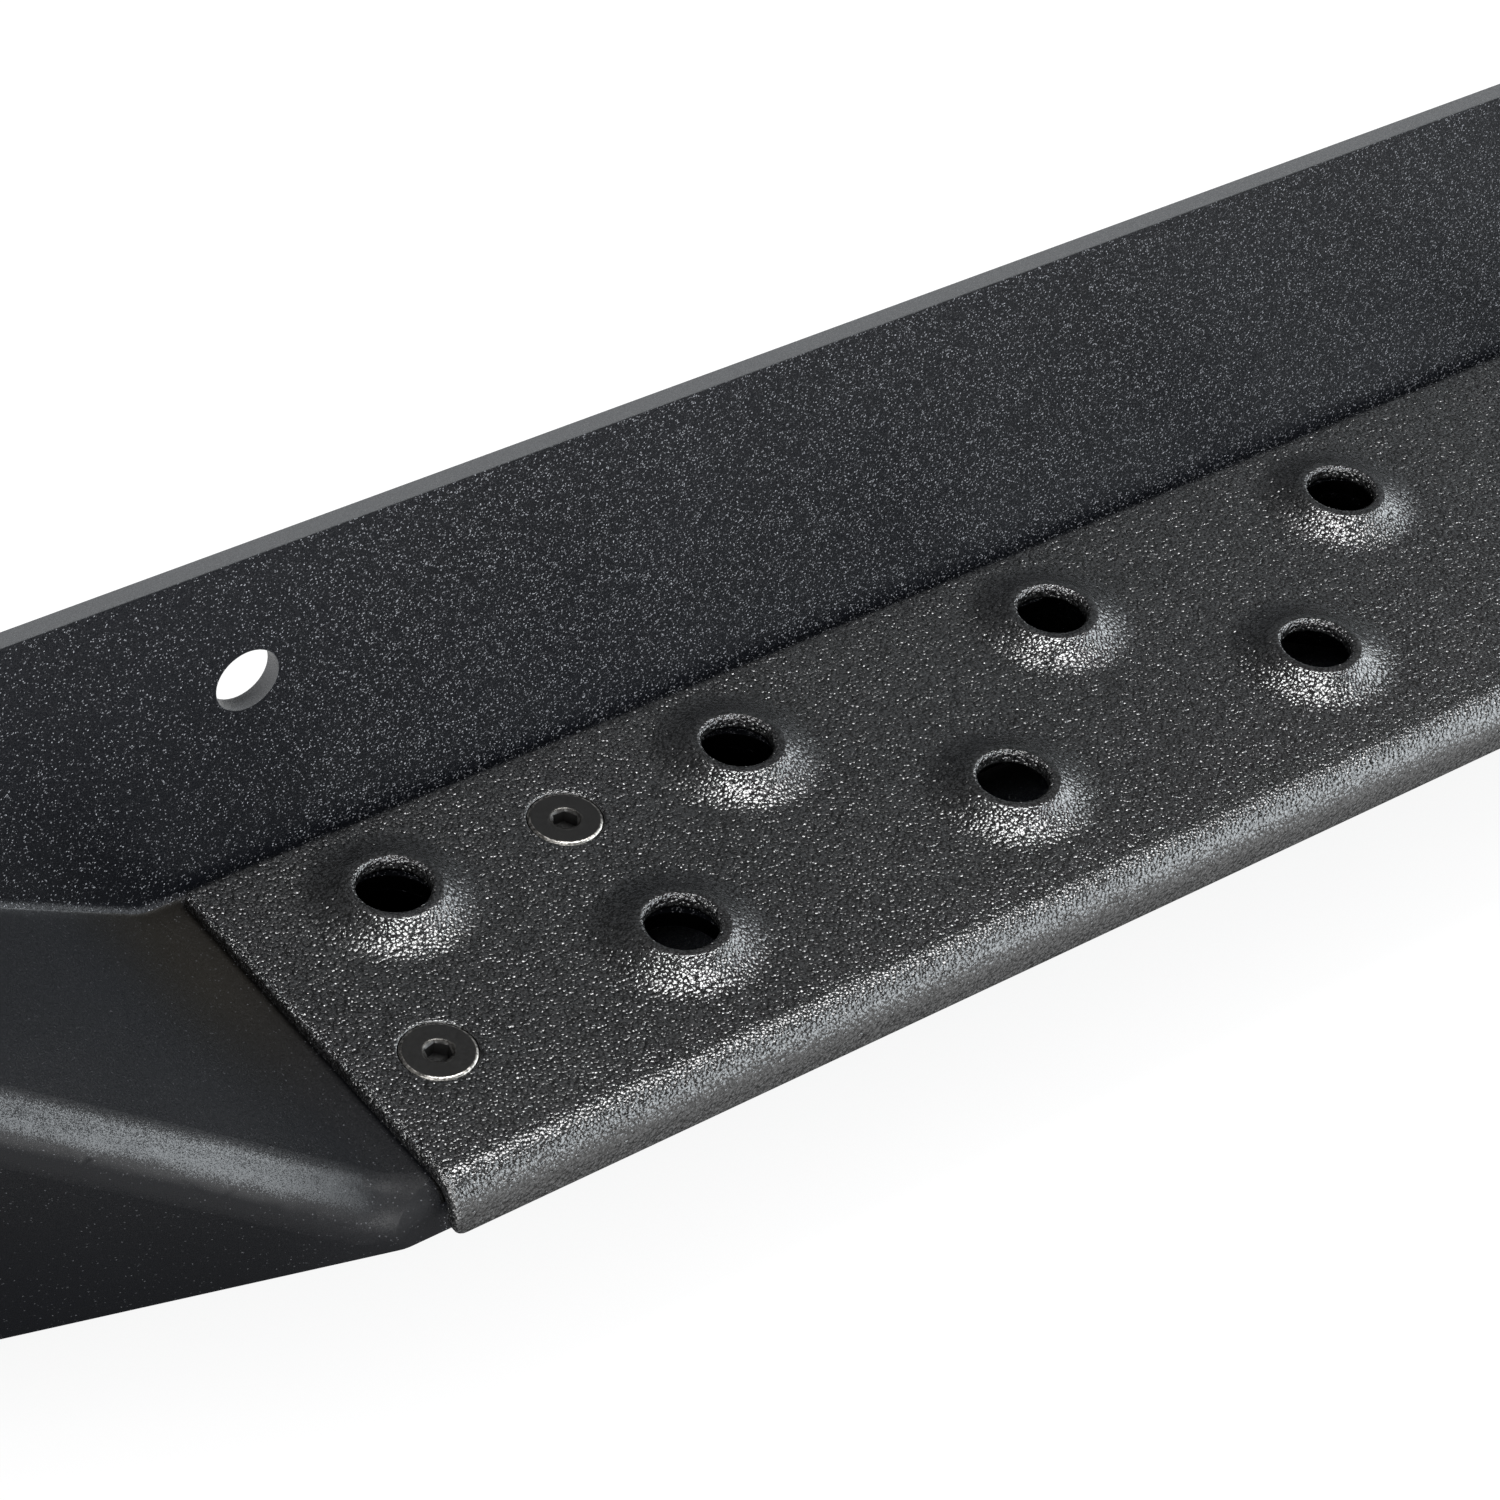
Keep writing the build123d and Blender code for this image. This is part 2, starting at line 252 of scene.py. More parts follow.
def finish_surface(nodes, inputs):
    """Ends a material in one Principled shader."""
    shader = nodes.add("ShaderNodeBsdfPrincipled", inputs)
    nodes.add("ShaderNodeOutputMaterial", {"Surface": shader.outputs[0]})


def paint(obj, material):
    """Gives an object one material, whatever slots it came with."""
    obj.data.materials.clear()
    obj.data.materials.append(material)


def mesh_object(name, mesh):
    obj = bpy.data.objects.new(name, mesh)
    bpy.context.scene.collection.objects.link(obj)
    return obj


def object_from_bmesh(name, bm, smooth=True):
    """Turns a bmesh into an object with merged points and outward faces."""
    bmesh.ops.remove_doubles(bm, verts=bm.verts, dist=0.002 * MM)
    bmesh.ops.recalc_face_normals(bm, faces=bm.faces)
    mesh = bpy.data.meshes.new(name)
    bm.to_mesh(mesh)
    bm.free()
    for polygon in mesh.polygons:
        polygon.use_smooth = smooth
    return mesh_object(name, mesh)


def seat_piece(piece, slot, *nodes):
    """Parents a finished piece to the board and hides the CAD nodes it stands for."""
    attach(piece, BODY)
    if nodes:
        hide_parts(*nodes)


def grip_places(tread):
    """The middles of all grip holes, on the top of the tread."""
    top = TREAD_HIGH.z - tread.rise
    back = TREAD_HIGH.y - tread.back_margin
    places = []
    for y, holes in ((back, tread.back_holes), (back - tread.row_gap, tread.back_holes - 1)):
        for number in range(holes):
            places.append(Vector(((number - (holes - 1) / 2) * tread.pitch, y, top)))
    return places


def screw_places(tread, screw):
    """The middles of the five screw heads, on the top of the tread."""
    top = TREAD_HIGH.z - tread.rise
    last = tread.pitch * (tread.back_holes - 1) / 2
    back = TREAD_HIGH.y - tread.back_margin + screw.rear_offset
    front = TREAD_HIGH.y - tread.back_margin - tread.row_gap - screw.front_offset
    outer = last + screw.front_outset
    inner = last - screw.rear_inset
    flat = [(-outer, front), (-inner, back), (0.0, front), (inner, back), (outer, front)]
    return [Vector((x, y, top)) for x, y in flat]


# ---- tread ---------------------------------------------------------------------------------------
SIDES = 48                      # sides of every circle
CORNER_STEPS = 5                # faces round each corner of the sheet
BEND_STEPS = 14                 # faces round the lip's bend
EDGE_STEPS = 4                  # faces round the sheet's edges
FLANK_STEPS = 12                # rings of faces up a rim's flank
LIP_STEPS = 8                   # rings of faces from a rim's top into its bore
SOFT_EDGE = 0.7 * MM            # rounding of the coated edges
SUPPORT = 0.8 * MM              # flat strip beside a rounding, which keeps the shading flat
RIM_ZONES = ("bore", "throat", "crest")


def arc(middle_x, middle_s, radius, start):
    """Points of a quarter circle on the flat sheet, from a start angle in quarter turns."""
    turns = [(start + step / CORNER_STEPS) * math.pi / 2 for step in range(CORNER_STEPS + 1)]
    return [(middle_x + radius * math.cos(t), middle_s + radius * math.sin(t)) for t in turns]


def fold_lines(tread):
    """Lengths along the sheet: the flat part, the bend, up to the lip's edge, up to each bend line."""
    flat = TREAD_HIGH.y - TREAD_LOW.y - tread.bend
    round_the_bend = tread.bend * math.pi / 2
    drop = TREAD_HIGH.z - tread.rise - TREAD_LOW.z
    edge = flat + round_the_bend + drop - tread.bend
    lines = [flat + round_the_bend * n / BEND_STEPS for n in range(BEND_STEPS + 1)]
    return flat, round_the_bend, edge, lines


def sheet_point(tread, x, s, depth):
    """Folds a point of the flat sheet into its place: s runs from the rear edge, depth goes inwards."""
    flat, round_the_bend = fold_lines(tread)[:2]
    top = TREAD_HIGH.z - tread.rise
    if s <= flat:
        return Vector((x, TREAD_HIGH.y - s, top - depth))
    if s >= flat + round_the_bend:
        return Vector((x, TREAD_LOW.y + depth, top - tread.bend - (s - flat - round_the_bend)))
    turn = (s - flat) / tread.bend
    reach = tread.bend - depth
    return Vector((
        x,
        TREAD_LOW.y + tread.bend - reach * math.sin(turn),
        top - tread.bend + reach * math.cos(turn),
    ))


def sheet_outline(tread, inset):
    """The tread's outline on the flat sheet, moved inwards, and how many points lie on each end."""
    edge, lines = fold_lines(tread)[2:]
    half = TREAD_HIGH.x
    rear, lip = tread.rear_corner, tread.lip_corner
    ends = [line for line in lines if line < edge - lip]
    right = arc(-half + rear, rear, rear - inset, 2) + arc(half - rear, rear, rear - inset, 3)
    right += [(half - inset, line) for line in ends]
    left = arc(half - lip, edge - lip, lip - inset, 0) + arc(-half + lip, edge - lip, lip - inset, 1)
    left += [(-half + inset, line) for line in reversed(ends)]
    return right + left, len(ends)


def circle(middle, radius, z):
    turns = [2 * math.pi * n / SIDES for n in range(SIDES)]
    return [Vector((middle.x + radius * math.cos(t), middle.y + radius * math.sin(t), z)) for t in turns]


def ring_of(bm, points):
    return [bm.verts.new(point) for point in points]


def bridge(bm, first, second):
    """Joins two rings of points with faces."""
    for n in range(len(first)):
        m = (n + 1) % len(first)
        bm.faces.new((first[n], first[m], second[m], second[n]))


def close_side(bm, tread, ring, count, circles, depth):
    """Fills the upper or lower face of the sheet inside a ring of points, with its round cut-outs.

    The ring runs along both rear corners, down the right end, along the lip and up the left end.
    """
    corners = 2 * (CORNER_STEPS + 1)
    first_right, last_right = corners, corners + count - 1
    first_left = len(ring) - count
    flat_part = ring[first_left + count - 1:] + ring[:first_right + 1]
    edges = [bm.edges.get(pair) or bm.edges.new(pair) for pair in zip(flat_part, flat_part[1:])]
    edges.append(bm.edges.new((flat_part[-1], flat_part[0])))
    for middle, radius in circles:
        rim = ring_of(bm, circle(middle, radius, TREAD_HIGH.z - tread.rise - depth))
        edges += [bm.edges.new((rim[n], rim[(n + 1) % SIDES])) for n in range(SIDES)]
    bmesh.ops.triangle_fill(bm, use_beauty=True, use_dissolve=False, edges=edges, normal=(0, 0, 1))
    rights = ring[first_right:last_right + 1]
    lefts = list(reversed(ring[first_left:]))
    for n in range(count - 1):
        bm.faces.new((rights[n], lefts[n], lefts[n + 1], rights[n + 1]))
    bm.faces.new(ring[last_right:first_left + 1])


def make_tread_sheet(tread, grips, screws):
    """The folded sheet of the tread with round openings where the rims and screw seats go."""
    bm = bmesh.new()
    rings = []
    levels = [(SOFT_EDGE + SUPPORT, 0.0)]
    for n in range(EDGE_STEPS + 1):
        turn = math.pi / 2 * n / EDGE_STEPS
        levels.append((SOFT_EDGE * (1 - math.sin(turn)), SOFT_EDGE * (1 - math.cos(turn))))
    lower = [(inset, tread.sheet - depth) for inset, depth in reversed(levels)]
    for inset, depth in levels + lower:
        outline, count = sheet_outline(tread, inset)
        rings.append(ring_of(bm, [sheet_point(tread, x, s, depth) for x, s in outline]))
    for first, second in zip(rings, rings[1:]):
        bridge(bm, first, second)
    feet = [(place, tread.foot + SUPPORT) for place in grips]
    seat = seat_profile(tread)
    for ring, (radius, height) in ((rings[0], seat[0]), (rings[-1], seat[-1])):
        close_side(bm, tread, ring, count, feet + [(place, radius) for place in screws], -height)
    return bm


def rim_profile(tread):
    """Radius and height of a raised rim, from its foot over the crest and back underneath."""
    upper = [(tread.foot + SUPPORT, 0.0)]
    lower = [(tread.foot + SUPPORT, -tread.sheet)]
    hollow = 1.8                # at 1 the flank would be a straight cone
    for n in range(FLANK_STEPS + 1):
        share = n / FLANK_STEPS
        radius = tread.foot + (tread.crest - tread.foot) * share
        height = (tread.rise - 0.16 * MM) * share ** hollow
        upper.append((radius, height))
        lower.append((radius, height - tread.sheet))
    for inwards, down in ((0.4 * MM, 0.08 * MM), (0.9 * MM, 0.03 * MM)):
        upper.append((tread.crest - inwards, tread.rise - down))
    for n in range(LIP_STEPS + 1):
        turn = math.radians(3 - 93 * n / LIP_STEPS)
        upper.append((
            tread.bore + tread.round_top * (1 + math.sin(turn)),
            tread.rise - tread.round_top * (1 - math.cos(turn)),
        ))
    for down in (tread.throat, tread.throat + 0.7 * MM):
        upper.append((tread.bore, tread.rise - down))
    lower.append((tread.bore + 0.3 * MM, lower[-1][1]))
    return upper + lower[::-1]


def rim_zones(tread, point):
    """Which part of a rim a point lies in: the bore, which is painted black as painted shade, the bright
    throat or the flat crest.
    """
    radius = point.xy.length
    inside = point.z < tread.rise - tread.throat - 0.3 * MM
    rolled = radius < tread.bore + 0.9 * MM
    bore = inside and radius < tread.bore + 0.4 * MM
    return bore, rolled and not inside, not rolled and radius < tread.crest - 0.3 * MM


def seat_profile(tread):
    """Radius and height of a screw seat, from the top of the sheet down through it."""
    head, land = 8.2 * MM, 0.45 * MM
    return [
        (head + 1.2 * MM, 0.0),
        (head + 0.5 * MM, 0.0),
        (head + 0.15 * MM, -0.1 * MM),
        (head, -0.3 * MM),
        (head, -land),
        (head + land - tread.sheet, -tread.sheet),
    ]


def revolve(bm, profile, middle=Vector()):
    """Turns a profile of radius and height about an upright line through a point."""
    rings = [ring_of(bm, circle(middle, radius, middle.z + height)) for radius, height in profile]
    for first, second in zip(rings, rings[1:]):
        bridge(bm, first, second)
    return rings


# ---- geometry nodes ------------------------------------------------------------------------------
def new_tree(name, inputs):
    """A Geometry Nodes tree with named inputs, each given as (name, kind, value)."""
    tree = bpy.data.node_groups.new(name, "GeometryNodeTree")
    sockets = tree.interface
    sockets.new_socket("Geometry", in_out="INPUT", socket_type="NodeSocketGeometry")
    for label, kind, value in inputs:
        socket = sockets.new_socket(label, in_out="INPUT", socket_type="NodeSocket" + kind)
        if value is not None:
            socket.default_value = value
    sockets.new_socket("Material", in_out="INPUT", socket_type="NodeSocketMaterial")
    sockets.new_socket("Geometry", in_out="OUTPUT", socket_type="NodeSocketGeometry")
    nodes = Nodes(tree)
    return tree, nodes, nodes.add("NodeGroupInput").outputs


def end_tree(nodes, geometry, given):
    """Ends a tree: instances become real, and all of it gets the material."""
    real = nodes.add("GeometryNodeRealizeInstances", {0: geometry}).outputs[0]
    painted = nodes.add("GeometryNodeSetMaterial", {"Geometry": real, "Material": given["Material"]})
    nodes.add("NodeGroupOutput", {0: painted.outputs[0]})


def run_tree(obj, tree, material, **sizes):
    """Runs a tree on an object and gives back the result as a plain mesh."""
    modifier = obj.modifiers.new(tree.name, "NODES")
    modifier.node_group = tree
    sizes = {name.replace("_", " ").title(): value for name, value in sizes.items()}
    sizes["Material"] = material
    for item in tree.interface.items_tree:
        if item.in_out == "INPUT" and item.name in sizes:
            modifier[item.identifier] = sizes.pop(item.name)
    if sizes:
        raise ValueError(f"{tree.name} has no input for {sorted(sizes)}")
    evaluated = obj.evaluated_get(bpy.context.evaluated_depsgraph_get())
    mesh = bpy.data.meshes.new_from_object(evaluated)
    obj.modifiers.remove(modifier)
    return mesh


def random_number(nodes, low, high, seed):
    """A random number for each point."""
    node = nodes.add("FunctionNodeRandomValue", {2: low, 3: high, "Seed": seed}, data_type="FLOAT")
    return node.outputs[1]


def grip_rows_tree():
    """Sets out the rims in two rows.  The front row has one fewer and stands half a pitch over."""
    tree, nodes, given = new_tree("Grip Rows", [
        ("Pitch", "Float", 0.088),
        ("Row Gap", "Float", 0.04),
        ("Back Holes", "Int", 13),
        ("Back Row", "Vector", None),
    ])
    step = nodes.add("ShaderNodeCombineXYZ", {0: given["Pitch"]}).outputs[0]
    rows = []
    for number in range(2):
        holes = nodes.math("SUBTRACT", given["Back Holes"], float(number))
        start_x = nodes.product(nodes.math("SUBTRACT", holes, 1.0), -0.5, given["Pitch"])
        start_y = nodes.product(given["Row Gap"], -float(number))
        start = nodes.add("ShaderNodeCombineXYZ", {0: start_x, 1: start_y}).outputs[0]
        row = nodes.add("GeometryNodeMeshLine", {
            "Count": holes,
            "Start Location": nodes.vector("ADD", start, given["Back Row"]),
            "Offset": step,
        }, mode="OFFSET")
        rows.append(row.outputs[0])
    join = nodes.add("GeometryNodeJoinGeometry")
    for row in rows:
        nodes.tree.links.new(row, join.inputs[0])
    placed = nodes.add("GeometryNodeInstanceOnPoints", {
        "Points": join.outputs[0],
        "Instance": given["Geometry"],
    })
    end_tree(nodes, placed.outputs[0], given)
    return tree


def scatter_tree():
    """Puts one piece on each point of a mesh, each turned about its upright axis by a random angle."""
    tree, nodes, given = new_tree("Set Pieces", [
        ("Piece", "Object", None),
        ("Largest Turn", "Float", 0.0),
        ("Seed", "Int", 1),
    ])
    piece = nodes.add("GeometryNodeObjectInfo", {"Object": given["Piece"]}).outputs["Geometry"]
    turn = random_number(nodes, 0.0, given["Largest Turn"], given["Seed"])
    turn = nodes.add("ShaderNodeCombineXYZ", {2: turn}).outputs[0]
    placed = nodes.add("GeometryNodeInstanceOnPoints", {
        "Points": given["Geometry"],
        "Instance": piece,
        "Rotation": turn,
    })
    end_tree(nodes, placed.outputs[0], given)
    return tree


def weld_tree():
    """Lays weld stitches along lines: overlapping scales, in runs with gaps between them."""
    tree, nodes, given = new_tree("Weld Stitches", [
        ("Facing", "Vector", None),
        ("Width", "Float", 0.004),
        ("Height", "Float", 0.0012),
        ("Scale Step", "Float", 0.0012),
        ("Run", "Float", 0.03),
        ("Repeat", "Float", 0.11),
        ("Seed", "Int", 1),
    ])
    curve = nodes.add("GeometryNodeMeshToCurve", {"Mesh": given["Geometry"]}).outputs[0]
    points = nodes.add("GeometryNodeCurveToPoints", {
        "Curve": curve,
        "Length": given["Scale Step"],
    }, mode="LENGTH").outputs
    place = nodes.add("GeometryNodeInputIndex").outputs[0]
    beat = nodes.math("MODULO", nodes.product(place, given["Scale Step"]), given["Repeat"])
    welded = nodes.math("LESS_THAN", beat, given["Run"])
    scale = nodes.add("GeometryNodeMeshUVSphere", {"Segments": 8, "Rings": 5, "Radius": 0.5}).outputs[0]
    size = nodes.add("ShaderNodeCombineXYZ", {
        0: nodes.product(given["Width"], random_number(nodes, 0.85, 1.0, given["Seed"])),
        1: nodes.product(given["Scale Step"], 2.6),     # each scale lies over the next ones
        2: nodes.product(given["Height"], 2.0),         # half of each scale is under the surface
    }).outputs[0]
    upright = nodes.add("FunctionNodeAlignRotationToVector", {"Vector": given["Facing"]}, axis="Z")
    turned = nodes.add("FunctionNodeAlignRotationToVector", {
        "Rotation": upright.outputs[0],
        "Vector": points["Tangent"],
    }, axis="Y", pivot_axis="Z")
    placed = nodes.add("GeometryNodeInstanceOnPoints", {
        "Points": points["Points"],
        "Selection": welded,
        "Instance": scale,
        "Rotation": turned.outputs[0],
        "Scale": size,
    })
    end_tree(nodes, placed.outputs[0], given)
    return tree


# ---- finishes ------------------------------------------------------------------------------------
def object_place(nodes):
    """Where a point lies on the object, and the same as separate x, y and z."""
    place = nodes.add("ShaderNodeTexCoord").outputs["Object"]
    return place, nodes.add("ShaderNodeSeparateXYZ", {0: place}).outputs


def grains(nodes, place, size, seed):
    """Cells of a given size, each with a random colour."""
    shifted = nodes.vector("ADD", place, (seed * 0.37, seed * 0.61, seed * 0.83))
    return nodes.add("ShaderNodeTexVoronoi", {"Vector": shifted, "Scale": 1 / size}).outputs["Color"]


def noise(nodes, place, size, detail):
    """Soft noise from 0 to 1 with lumps of a given size."""
    inputs = {"Vector": place, "Scale": 1 / size, "Detail": detail}
    return nodes.add("ShaderNodeTexNoise", inputs).outputs[0]


def channels(nodes, colour):
    """The three random numbers that a random colour holds."""
    return nodes.add("ShaderNodeSeparateColor", {0: colour}).outputs


def leaned(nodes, normal, offset, tilt):
    """Leans the surface along an offset."""
    lean = nodes.add("ShaderNodeVectorMath", {0: offset, "Scale": tilt}, operation="SCALE").outputs[0]
    return nodes.vector("NORMALIZE", nodes.vector("ADD", normal, lean))


def tilted(nodes, normal, colour, tilt):
    """Leans the surface by a random amount, taken from a random colour."""
    return leaned(nodes, normal, nodes.vector("SUBTRACT", colour, (0.5, 0.5, 0.5)), tilt)


def bumped(nodes, height, strength, distance):
    """Raises and lowers the surface by a height from 0 to 1."""
    inputs = {"Height": height, "Strength": strength, "Distance": distance}
    return nodes.add("ShaderNodeBump", inputs).outputs[0]


def between(nodes, value, low, high):
    """Rises smoothly from 0 to 1 while a value goes from low to high."""
    inputs = {"Value": value, "From Min": low, "From Max": high}
    return nodes.add("ShaderNodeMapRange", inputs, interpolation_type="SMOOTHSTEP").outputs[0]


def rest(nodes, share):
    """What a share leaves of 1."""
    return nodes.math("SUBTRACT", 1.0, share)


def tinted(nodes, colour, shade):
    """A colour made lighter or darker by a grey."""
    inputs = {0: 1.0, 6: colour, 7: shade}
    return nodes.add("ShaderNodeMix", inputs, data_type="RGBA", blend_type="MULTIPLY").outputs[2]


def cut_edges_and_highlight(nodes, x, y, z):
    """1 on the cut top edge of the flange and in its bolt holes, 0 elsewhere. There the lighter edge
    colour stands for the thin coat on cut faces and is partly a painted highlight.
    """
    top = between(nodes, z, FLANGE_TOP - 0.4 * MM, FLANGE_TOP - 0.1 * MM)
    side = nodes.math("ABSOLUTE", x)
    wall = 0.0
    for middle in (BOLT_OUTER, BOLT_INNER):
        across = nodes.math("SUBTRACT", side, middle)
        square = nodes.total(nodes.product(across, across), nodes.product(z, z))
        inside = nodes.math("LESS_THAN", nodes.math("SQRT", square), BOLT_HOLE + 0.1 * MM)
        wall = nodes.math("MAXIMUM", inside, wall)
    in_flange = nodes.math("GREATER_THAN", y, -BODY_SHEET - 0.2 * MM)
    return nodes.product(nodes.math("MAXIMUM", top, wall), in_flange)


def shelf_hole_shade(nodes, side, y, z):
    """1 on the walls of the holes through the shelf, under the tread, 0 elsewhere. These walls are painted
    black as painted shade.
    """
    in_sheet = nodes.math("COMPARE", z, SHELF_TOP - BODY_SHEET / 2, BODY_SHEET / 2 - 0.1 * MM)
    in_shelf = nodes.math("COMPARE", y, (TREAD_LOW.y + TREAD_HIGH.y) / 2, 45 * MM)
    return nodes.product(in_sheet, in_shelf, nodes.math("LESS_THAN", side, TREAD_HIGH.x))


def body_coat(finish):
    """Satin powder coat: fine flecks on the flange, smoother on the pressed ends, thin on cut edges.
    Painted light: a highlight on cut edges, shade on the pressed ends and in the shelf holes, and a warm
    reflection and shade beside the tread.
    """
    material, nodes = new_material("Body coat")
    place, (x, y, z) = object_place(nodes)
    side = nodes.math("ABSOLUTE", x)
    past_tread = between(nodes, side, TREAD_HIGH.x - 2 * MM, TREAD_HIGH.x + 1 * MM)
    off_flange = nodes.math("LESS_THAN", y, -BODY_SHEET - 1 * MM)
    pressed = nodes.product(past_tread, off_flange)
    rough_part = rest(nodes, nodes.product(pressed, 0.75))
    clouds = noise(nodes, place, 60 * MM, 3.0)

    # the flecks get fewer towards the end of the board, and most are faint
    towards_end = between(nodes, side, TREAD_HIGH.x - 60 * MM, TREAD_HIGH.x + 10 * MM)
    share = nodes.product(rough_part, nodes.ramp(towards_end, [(0.0, 0.15), (1.0, 0.08)]))
    chance, brightness, _ = channels(nodes, grains(nodes, place, finish.body_grain, 1))
    picked = nodes.math("LESS_THAN", chance, share)
    fleck = nodes.product(picked, nodes.math("POWER", brightness, 2.0), rough_part)

    # a warm tint painted at the foot of the pressed end beside the tread: a painted reflection and soft
    # shade
    near_tread = between(nodes, side, SHELF_END + 24 * MM, SHELF_END)
    mid_depth = between(nodes, y, TREAD_LOW.y + 25 * MM, TREAD_HIGH.y - 20 * MM)
    warm_reflection_share = nodes.product(pressed, near_tread, mid_depth, 0.7)
    # the pressed ends get the darker end colour: painted shade
    ground = nodes.mix(pressed, finish.body_colour, finish.end_shade_colour)
    ground = nodes.mix(warm_reflection_share, ground, finish.painted_warm_colour)
    ground = tinted(nodes, ground, nodes.ramp(clouds, [(0.3, 0.85), (0.7, 1.15)]))
    colour = nodes.mix(fleck, ground, finish.body_fleck)
    # cut faces get a lighter colour: thin coat, partly a painted highlight along the top edge and in the
    # bolt holes
    colour = nodes.mix(cut_edges_and_highlight(nodes, x, y, z), colour, finish.edge_and_highlight_colour)
    # the shelf holes' walls are painted black: painted shade
    colour = nodes.mix(shelf_hole_shade(nodes, side, y, z), colour, (0.0, 0.0, 0.0))

    # the ramp and its ridge are smoother beyond the shelf's bend, with a second gloss where they face up
    beyond_bend = between(nodes, side, SHELF_END - 4 * MM, SHELF_END + 30 * MM)
    dull = nodes.product(pressed, nodes.ramp(beyond_bend, [(0.0, 0.25), (1.0, 0.0)]))
    upright = nodes.add("ShaderNodeNewGeometry").outputs["Normal"]
    facing_up = nodes.add("ShaderNodeSeparateXYZ", {0: upright}).outputs[2]
    peel = noise(nodes, place, 0.8 * MM, 2.0)
    relief = nodes.product(nodes.total(rough_part, 0.3), 0.5)
    tilt = nodes.product(nodes.total(rough_part, 0.55), 0.31)
    fine = grains(nodes, place, finish.body_grain * 0.6, 2)
    normal = tilted(nodes, bumped(nodes, peel, relief, 0.12 * MM), fine, tilt)
    finish_surface(nodes, {
        "Base Color": colour,
        "Roughness": nodes.total(nodes.ramp(clouds, [(0.3, 0.285), (0.7, 0.325)]), dull),
        "Specular IOR Level": 0.22,
        "Coat Weight": nodes.product(pressed, beyond_bend, between(nodes, facing_up, 0.22, 0.5)),
        "Coat Roughness": 0.22,
        "Coat Normal": normal,
        "Normal": normal,
    })
    return material


def tread_coat(finish):
    """Coarse gritty coat.  Each grain is a dome that shows one glint, over a dark ground."""
    material, nodes = new_material("Tread coat")
    place, (x, y, _) = object_place(nodes)
    side = nodes.math("ABSOLUTE", x)
    at_edge = between(nodes, side, TREAD_HIGH.x - 3 * MM, TREAD_HIGH.x - 0.6 * MM)
    at_lip = between(nodes, y, TREAD_LOW.y + 5 * MM, TREAD_LOW.y + 1 * MM)
    bore, throat, crest = (nodes.attribute(name) for name in RIM_ZONES)
    wild = nodes.math("MAXIMUM", at_edge, nodes.product(nodes.math("MAXIMUM", at_lip, throat), 0.3))
    calm = rest(nodes, nodes.product(crest, 0.7))

    size = finish.tread_grain
    domes = nodes.add("ShaderNodeTexVoronoi", {"Vector": place, "Scale": 1 / size}).outputs
    grit = nodes.add("ShaderNodeTexNoise", {"Vector": place, "Scale": 2.1 / size, "Detail": 1.0}).outputs
    steepness = nodes.ramp(channels(nodes, domes["Color"])[0], [(0.0, 0.28), (0.85, 0.5), (1.0, 0.85)])
    steepness = nodes.product(steepness, nodes.total(calm, nodes.product(throat, 1.2)), 1 / size)
    grit_tilt = nodes.product(nodes.total(nodes.product(wild, 1.8), 0.5), calm)
    normal = nodes.add("ShaderNodeNewGeometry").outputs["Normal"]
    normal = leaned(nodes, normal, nodes.vector("SUBTRACT", place, domes["Position"]), steepness)
    normal = tilted(nodes, normal, grit["Color"], grit_tilt)

    # lighter on random grit and on the dome tops; the dome-top part is painted shade, darker in the
    # grooves
    top = between(nodes, domes["Distance"], 0.75, 0.25)
    proud = between(nodes, nodes.total(grit[0], nodes.product(top, 0.2)), 0.5, 0.75)
    # the bore under the throat is painted black and loses its coat: painted shade
    deep = between(nodes, bore, 0.3, 0.9)
    colour = nodes.mix(proud, finish.tread_colour, finish.tread_grain_and_shade)
    finish_surface(nodes, {
        "Base Color": nodes.mix(deep, colour, (0.0, 0.0, 0.0)),
        "Roughness": nodes.ramp(noise(nodes, place, 30 * MM, 3.0), [(0.3, 0.2), (0.7, 0.25)]),
        "Specular IOR Level": 0.6,
        "Coat Weight": nodes.product(nodes.ramp(proud, [(0.0, 0.4), (1.0, 1.0)]), rest(nodes, deep)),
        "Coat Roughness": 0.12,
        "Coat Normal": normal,
        "Normal": normal,
    })
    return material


def black_oxide():
    """Blackened steel, worn bright where the head's edge and the mouth of the socket stand proud."""
    material, nodes = new_material("Black oxide")
    place, _ = object_place(nodes)
    patchy = noise(nodes, place, 0.7 * MM, 3.0)
    bare = nodes.product(nodes.attribute("worn"), nodes.ramp(patchy, [(0.3, 0.35), (0.6, 1.0)]))
    black, bright = (0.008, 0.0078, 0.0075), (0.5, 0.48, 0.45)
    finish_surface(nodes, {
        "Base Color": nodes.mix(nodes.math("POWER", bare, 2.0), black, bright),
        "Metallic": between(nodes, bare, 0.15, 0.35),
        "Roughness": nodes.ramp(patchy, [(0.3, 0.28), (0.7, 0.38)]),
        "Specular IOR Level": 0.4,
        "Normal": bumped(nodes, noise(nodes, place, 0.25 * MM, 2.0), 0.25, 0.05 * MM),
    })
    return material


def nut_steel():
    """Plain zinc plated steel with a dull, cloudy surface."""
    material, nodes = new_material("Nut steel")
    place, _ = object_place(nodes)
    cloudy = noise(nodes, place, 3 * MM, 4.0)
    finish_surface(nodes, {
        "Base Color": nodes.ramp(cloudy, [(0.3, (0.30, 0.31, 0.33)), (0.7, (0.45, 0.46, 0.48))]),
        "Metallic": 0.9,
        "Roughness": nodes.ramp(cloudy, [(0.3, 0.35), (0.7, 0.55)]),
        "Normal": bumped(nodes, noise(nodes, place, 0.3 * MM, 2.0), 0.2, 0.05 * MM),
    })
    return material


